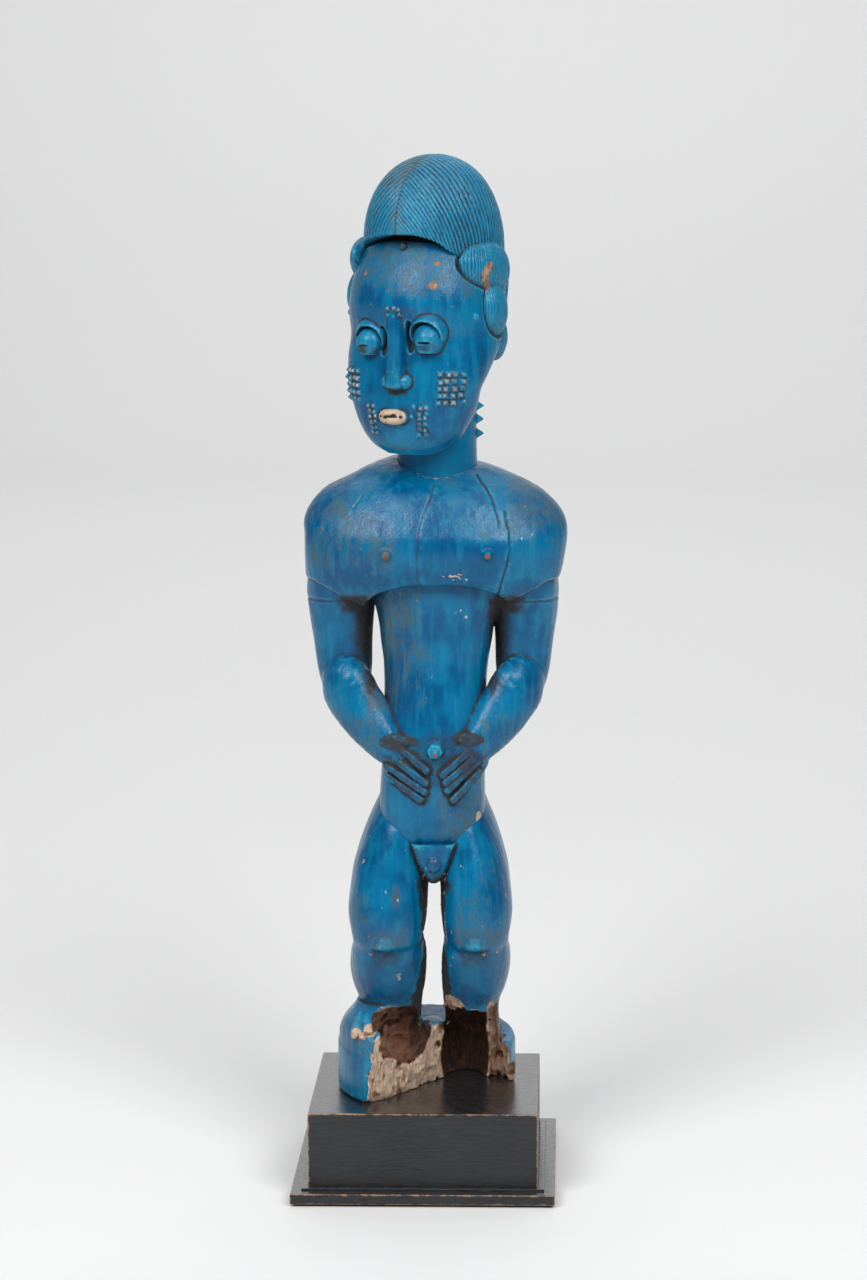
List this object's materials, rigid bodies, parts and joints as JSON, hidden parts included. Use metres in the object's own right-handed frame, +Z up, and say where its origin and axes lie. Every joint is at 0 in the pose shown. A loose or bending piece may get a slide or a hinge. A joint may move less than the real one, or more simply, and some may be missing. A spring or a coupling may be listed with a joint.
{
  "type": "carved male figure on plinth",
  "caption": "Carved and blue-painted wooden standing male figure, hands on belly, head turned, on a broken round base and a black stepped wooden plinth",
  "frame": {"origin": "centre of the plinth's flat underside, on the surface that it stands on", "axes": "+Z up; -Y is the front, where the chest faces; +X is the viewer's right, the figure's own left"},
  "size_m": [0.1434, 0.119, 0.5391],
  "materials": {
    "blue_painted_wood": "satin blue paint over carved wood, worn grey-brown on the high places, dark grime in the hollows, bare rotted wood where the base is broken",
    "black_painted_wood": "semi-gloss black paint over open-grained wood, edges rubbed to orange-brown wood"
  },
  "bodies": {
    "root": {"figure": "blue_painted_wood", "plinth_block": "black_painted_wood", "plinth_slab": "black_painted_wood"}
  },
  "joints": []
}
